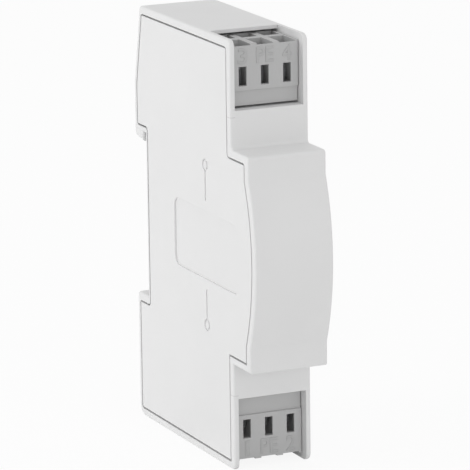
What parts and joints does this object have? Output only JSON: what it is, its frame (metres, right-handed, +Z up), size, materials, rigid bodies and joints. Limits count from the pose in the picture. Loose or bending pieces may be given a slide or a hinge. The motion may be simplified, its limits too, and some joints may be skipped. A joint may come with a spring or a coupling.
{
  "type": "din rail surge arrester",
  "caption": "Slim modular surge arrester for signal lines: stepped plastic housing with a bowed front, spring terminals at top and bottom, and a sliding latch that holds it on a 35 mm rail.",
  "frame": {"origin": "middle of the seat that lies against the rail, on the rail's centre line", "axes": "+X to the right seen from the front, +Y to the rear towards the rail, +Z up"},
  "size_m": [0.0176, 0.0611, 0.09],
  "materials": {
    "housing": "satin moulded",
    "cover": "satin moulded",
    "terminal_block": "satin moulded",
    "latch": "satin moulded",
    "spring_steel": "bright rolled",
    "contact": "tin plated",
    "board": "solder mask",
    "ceramic": "glazed ceramic",
    "resistor": "lacquered",
    "diode": "moulded"
  },
  "bodies": {
    "housing": {"housing_shell": "housing", "side_cover": "cover", "upper_terminal_block": "terminal_block", "lower_terminal_block": "terminal_block", "contact_bar_1": "contact", "contact_bar_pe_lower": "contact", "contact_bar_2": "contact", "contact_bar_3": "contact", "contact_bar_pe_upper": "contact", "contact_bar_4": "contact", "circuit_board": "board", "gas_discharge_tube": "ceramic", "decoupling_resistor_a": "resistor", "decoupling_resistor_b": "resistor", "suppressor_diode_a": "diode", "suppressor_diode_b": "diode", "latch_spring": "spring_steel"},
    "rail_latch": {"rail_latch": "latch"},
    "clamp_1": {"clamp_spring_1": "spring_steel"},
    "clamp_pe_lower": {"clamp_spring_pe_lower": "spring_steel"},
    "clamp_2": {"clamp_spring_2": "spring_steel"},
    "clamp_3": {"clamp_spring_3": "spring_steel"},
    "clamp_pe_upper": {"clamp_spring_pe_upper": "spring_steel"},
    "clamp_4": {"clamp_spring_4": "spring_steel"}
  },
  "joints": [
    {"name": "latch_slide", "type": "slide", "parent": "housing", "child": "rail_latch", "axis": [0, 0, -1], "range_m": [0, 0.003], "stiffness_N_per_m": 800, "deforming": ["latch_spring"]},
    {"name": "clamp_1_open", "type": "hinge", "parent": "housing", "child": "clamp_1", "pos_m": [-0.00495, -0.0338, -0.03255], "axis": [1, 0, 0], "range_deg": [0, 16], "stiffness_Nm_per_rad": 0.15},
    {"name": "clamp_pe_lower_open", "type": "hinge", "parent": "housing", "child": "clamp_pe_lower", "pos_m": [0, -0.0338, -0.03255], "axis": [1, 0, 0], "range_deg": [0, 16], "stiffness_Nm_per_rad": 0.15},
    {"name": "clamp_2_open", "type": "hinge", "parent": "housing", "child": "clamp_2", "pos_m": [0.00495, -0.0338, -0.03255], "axis": [1, 0, 0], "range_deg": [0, 16], "stiffness_Nm_per_rad": 0.15},
    {"name": "clamp_3_open", "type": "hinge", "parent": "housing", "child": "clamp_3", "pos_m": [-0.00495, -0.0338, 0.03255], "axis": [-1, 0, 0], "range_deg": [0, 16], "stiffness_Nm_per_rad": 0.15},
    {"name": "clamp_pe_upper_open", "type": "hinge", "parent": "housing", "child": "clamp_pe_upper", "pos_m": [0, -0.0338, 0.03255], "axis": [-1, 0, 0], "range_deg": [0, 16], "stiffness_Nm_per_rad": 0.15},
    {"name": "clamp_4_open", "type": "hinge", "parent": "housing", "child": "clamp_4", "pos_m": [0.00495, -0.0338, 0.03255], "axis": [-1, 0, 0], "range_deg": [0, 16], "stiffness_Nm_per_rad": 0.15}
  ]
}
